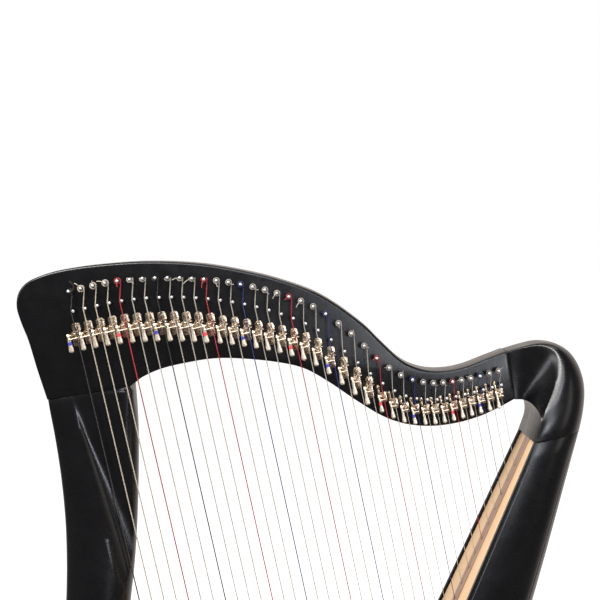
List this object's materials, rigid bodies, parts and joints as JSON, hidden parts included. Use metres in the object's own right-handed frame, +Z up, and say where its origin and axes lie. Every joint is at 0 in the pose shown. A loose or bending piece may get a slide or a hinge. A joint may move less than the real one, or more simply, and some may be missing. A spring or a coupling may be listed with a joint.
{
  "type": "lever harp",
  "caption": "Floor-standing harp with a curved neck, bowed pillar, leaning round-backed soundbox, strings each with a pivoting sharping lever, and a flat base on feet.",
  "frame": {"origin": "on the floor, under the middle of the harp's overall box", "axes": "+X from the pillar to the player's side with the soundbox, +Y away from the side with the levers, +Z up; the strings lie in the plane Y = 0"},
  "size_m": [0.7162, 0.3288, 1.238],
  "materials": {
    "lacquer": "near-black satin lacquer over wood",
    "spruce": "pale varnished soundboard",
    "maple": "brown varnished hardwood strip",
    "bare_wood": "unfinished wood inside the soundbox",
    "nickel": "warm polished nickel",
    "steel": "plain steel bolt",
    "nylon": "nylon and wound strings, off-white, red and blue",
    "rubber": "black rubber"
  },
  "bodies": {
    "frame": {"neck": "lacquer", "pillar": "lacquer", "shoulder": "lacquer", "soundbox_side_left": "lacquer", "soundbox_side_right": "lacquer", "soundbox_back": "lacquer", "soundbox_hoop_1": "bare_wood", "soundbox_hoop_2": "bare_wood", "treble_end_block": "bare_wood", "bass_end_block": "bare_wood", "soundboard": "spruce", "edge_rail_left": "lacquer", "edge_rail_right": "lacquer", "outer_string_rib": "maple", "string_set": "nylon", "lever_brackets": "nickel", "base": "lacquer", "foot_front_left": "rubber", "foot_front_right": "rubber", "foot_rear_left": "rubber", "foot_rear_right": "rubber", "pillar_bolt": "steel"},
    "lever_01": {"lever_01": "nickel"},
    "lever_02": {"lever_02": "nickel"},
    "lever_03": {"lever_03": "nickel"},
    "lever_04": {"lever_04": "nickel"},
    "lever_05": {"lever_05": "nickel"},
    "lever_06": {"lever_06": "nickel"},
    "lever_07": {"lever_07": "nickel"},
    "lever_08": {"lever_08": "nickel"},
    "lever_09": {"lever_09": "nickel"},
    "lever_10": {"lever_10": "nickel"},
    "lever_11": {"lever_11": "nickel"},
    "lever_12": {"lever_12": "nickel"},
    "lever_13": {"lever_13": "nickel"},
    "lever_14": {"lever_14": "nickel"},
    "lever_15": {"lever_15": "nickel"},
    "lever_16": {"lever_16": "nickel"},
    "lever_17": {"lever_17": "nickel"},
    "lever_18": {"lever_18": "nickel"},
    "lever_19": {"lever_19": "nickel"},
    "lever_20": {"lever_20": "nickel"},
    "lever_21": {"lever_21": "nickel"},
    "lever_22": {"lever_22": "nickel"},
    "lever_23": {"lever_23": "nickel"},
    "lever_24": {"lever_24": "nickel"},
    "lever_25": {"lever_25": "nickel"},
    "lever_26": {"lever_26": "nickel"},
    "lever_27": {"lever_27": "nickel"},
    "lever_28": {"lever_28": "nickel"},
    "lever_29": {"lever_29": "nickel"},
    "lever_30": {"lever_30": "nickel"},
    "lever_31": {"lever_31": "nickel"},
    "lever_32": {"lever_32": "nickel"},
    "lever_33": {"lever_33": "nickel"},
    "lever_34": {"lever_34": "nickel"},
    "lever_35": {"lever_35": "nickel"},
    "lever_36": {"lever_36": "nickel"},
    "lever_37": {"lever_37": "nickel"},
    "lever_38": {"lever_38": "nickel"}
  },
  "joints": [
    {"name": "lever_pivot_01", "type": "hinge", "parent": "frame", "child": "lever_01", "pos_m": [-0.27937, 0.001, 1.14574], "axis": [-0.9761, 0, -0.2172], "range_deg": [0, 90]},
    {"name": "lever_pivot_02", "type": "hinge", "parent": "frame", "child": "lever_02", "pos_m": [-0.26406, 0.001, 1.14873], "axis": [-0.9763, 0, -0.2166], "range_deg": [0, 90]},
    {"name": "lever_pivot_03", "type": "hinge", "parent": "frame", "child": "lever_03", "pos_m": [-0.24876, 0.001, 1.15181], "axis": [-0.9764, 0, -0.216], "range_deg": [0, 90]},
    {"name": "lever_pivot_04", "type": "hinge", "parent": "frame", "child": "lever_04", "pos_m": [-0.23342, 0.001, 1.15461], "axis": [-0.9765, 0, -0.2154], "range_deg": [0, 90]},
    {"name": "lever_pivot_05", "type": "hinge", "parent": "frame", "child": "lever_05", "pos_m": [-0.21796, 0.001, 1.15678], "axis": [-0.9767, 0, -0.2148], "range_deg": [0, 90]},
    {"name": "lever_pivot_06", "type": "hinge", "parent": "frame", "child": "lever_06", "pos_m": [-0.20232, 0.001, 1.15828], "axis": [-0.9768, 0, -0.2142], "range_deg": [0, 90]},
    {"name": "lever_pivot_07", "type": "hinge", "parent": "frame", "child": "lever_07", "pos_m": [-0.18655, 0.001, 1.15935], "axis": [-0.9769, 0, -0.2136], "range_deg": [0, 90]},
    {"name": "lever_pivot_08", "type": "hinge", "parent": "frame", "child": "lever_08", "pos_m": [-0.17082, 0.001, 1.16002], "axis": [-0.9771, 0, -0.213], "range_deg": [0, 90]},
    {"name": "lever_pivot_09", "type": "hinge", "parent": "frame", "child": "lever_09", "pos_m": [-0.15525, 0.001, 1.16025], "axis": [-0.9772, 0, -0.2123], "range_deg": [0, 90]},
    {"name": "lever_pivot_10", "type": "hinge", "parent": "frame", "child": "lever_10", "pos_m": [-0.13988, 0.001, 1.15999], "axis": [-0.9773, 0, -0.2117], "range_deg": [0, 90]},
    {"name": "lever_pivot_11", "type": "hinge", "parent": "frame", "child": "lever_11", "pos_m": [-0.12465, 0.001, 1.15928], "axis": [-0.9775, 0, -0.2111], "range_deg": [0, 90]},
    {"name": "lever_pivot_12", "type": "hinge", "parent": "frame", "child": "lever_12", "pos_m": [-0.10948, 0.001, 1.15812], "axis": [-0.9776, 0, -0.2105], "range_deg": [0, 90]},
    {"name": "lever_pivot_13", "type": "hinge", "parent": "frame", "child": "lever_13", "pos_m": [-0.09432, 0.001, 1.15655], "axis": [-0.9777, 0, -0.2099], "range_deg": [0, 90]},
    {"name": "lever_pivot_14", "type": "hinge", "parent": "frame", "child": "lever_14", "pos_m": [-0.07917, 0.001, 1.15468], "axis": [-0.9778, 0, -0.2093], "range_deg": [0, 90]},
    {"name": "lever_pivot_15", "type": "hinge", "parent": "frame", "child": "lever_15", "pos_m": [-0.06405, 0.001, 1.15251], "axis": [-0.978, 0, -0.2087], "range_deg": [0, 90]},
    {"name": "lever_pivot_16", "type": "hinge", "parent": "frame", "child": "lever_16", "pos_m": [-0.04903, 0.001, 1.15015], "axis": [-0.9781, 0, -0.2081], "range_deg": [0, 90]},
    {"name": "lever_pivot_17", "type": "hinge", "parent": "frame", "child": "lever_17", "pos_m": [-0.03408, 0.001, 1.14747], "axis": [-0.9782, 0, -0.2075], "range_deg": [0, 90]},
    {"name": "lever_pivot_18", "type": "hinge", "parent": "frame", "child": "lever_18", "pos_m": [-0.01921, 0.001, 1.14438], "axis": [-0.9784, 0, -0.2069], "range_deg": [0, 90]},
    {"name": "lever_pivot_19", "type": "hinge", "parent": "frame", "child": "lever_19", "pos_m": [-0.00435, 0.001, 1.14055], "axis": [-0.9785, 0, -0.2063], "range_deg": [0, 90]},
    {"name": "lever_pivot_20", "type": "hinge", "parent": "frame", "child": "lever_20", "pos_m": [0.01073, 0.001, 1.13528], "axis": [-0.9786, 0, -0.2057], "range_deg": [0, 90]},
    {"name": "lever_pivot_21", "type": "hinge", "parent": "frame", "child": "lever_21", "pos_m": [0.02616, 0.001, 1.12816], "axis": [-0.9788, 0, -0.205], "range_deg": [0, 90]},
    {"name": "lever_pivot_22", "type": "hinge", "parent": "frame", "child": "lever_22", "pos_m": [0.04231, 0.001, 1.11763], "axis": [-0.9789, 0, -0.2044], "range_deg": [0, 90]},
    {"name": "lever_pivot_23", "type": "hinge", "parent": "frame", "child": "lever_23", "pos_m": [0.05892, 0.001, 1.10441], "axis": [-0.979, 0, -0.2038], "range_deg": [0, 90]},
    {"name": "lever_pivot_24", "type": "hinge", "parent": "frame", "child": "lever_24", "pos_m": [0.07528, 0.001, 1.09142], "axis": [-0.9791, 0, -0.2032], "range_deg": [0, 90]},
    {"name": "lever_pivot_25", "type": "hinge", "parent": "frame", "child": "lever_25", "pos_m": [0.09101, 0.001, 1.07918], "axis": [-0.9793, 0, -0.2026], "range_deg": [0, 90]},
    {"name": "lever_pivot_26", "type": "hinge", "parent": "frame", "child": "lever_26", "pos_m": [0.10617, 0.001, 1.06835], "axis": [-0.9794, 0, -0.202], "range_deg": [0, 90]},
    {"name": "lever_pivot_27", "type": "hinge", "parent": "frame", "child": "lever_27", "pos_m": [0.12066, 0.001, 1.06046], "axis": [-0.9795, 0, -0.2014], "range_deg": [0, 90]},
    {"name": "lever_pivot_28", "type": "hinge", "parent": "frame", "child": "lever_28", "pos_m": [0.1346, 0.001, 1.05519], "axis": [-0.9796, 0, -0.2008], "range_deg": [0, 90]},
    {"name": "lever_pivot_29", "type": "hinge", "parent": "frame", "child": "lever_29", "pos_m": [0.14816, 0.001, 1.05292], "axis": [-0.9798, 0, -0.2002], "range_deg": [0, 90]},
    {"name": "lever_pivot_30", "type": "hinge", "parent": "frame", "child": "lever_30", "pos_m": [0.16124, 0.001, 1.05248], "axis": [-0.9799, 0, -0.1996], "range_deg": [0, 90]},
    {"name": "lever_pivot_31", "type": "hinge", "parent": "frame", "child": "lever_31", "pos_m": [0.17366, 0.001, 1.05308], "axis": [-0.98, 0, -0.1989], "range_deg": [0, 90]},
    {"name": "lever_pivot_32", "type": "hinge", "parent": "frame", "child": "lever_32", "pos_m": [0.18557, 0.001, 1.05489], "axis": [-0.9801, 0, -0.1983], "range_deg": [0, 90]},
    {"name": "lever_pivot_33", "type": "hinge", "parent": "frame", "child": "lever_33", "pos_m": [0.19716, 0.001, 1.05751], "axis": [-0.9803, 0, -0.1977], "range_deg": [0, 90]},
    {"name": "lever_pivot_34", "type": "hinge", "parent": "frame", "child": "lever_34", "pos_m": [0.20856, 0.001, 1.06058], "axis": [-0.9804, 0, -0.1971], "range_deg": [0, 90]},
    {"name": "lever_pivot_35", "type": "hinge", "parent": "frame", "child": "lever_35", "pos_m": [0.21992, 0.001, 1.0637], "axis": [-0.9805, 0, -0.1965], "range_deg": [0, 90]},
    {"name": "lever_pivot_36", "type": "hinge", "parent": "frame", "child": "lever_36", "pos_m": [0.23127, 0.001, 1.06679], "axis": [-0.9806, 0, -0.1959], "range_deg": [0, 90]},
    {"name": "lever_pivot_37", "type": "hinge", "parent": "frame", "child": "lever_37", "pos_m": [0.24256, 0.001, 1.06998], "axis": [-0.9808, 0, -0.1953], "range_deg": [0, 90]},
    {"name": "lever_pivot_38", "type": "hinge", "parent": "frame", "child": "lever_38", "pos_m": [0.25385, 0.001, 1.07319], "axis": [-0.9809, 0, -0.1947], "range_deg": [0, 90]}
  ]
}
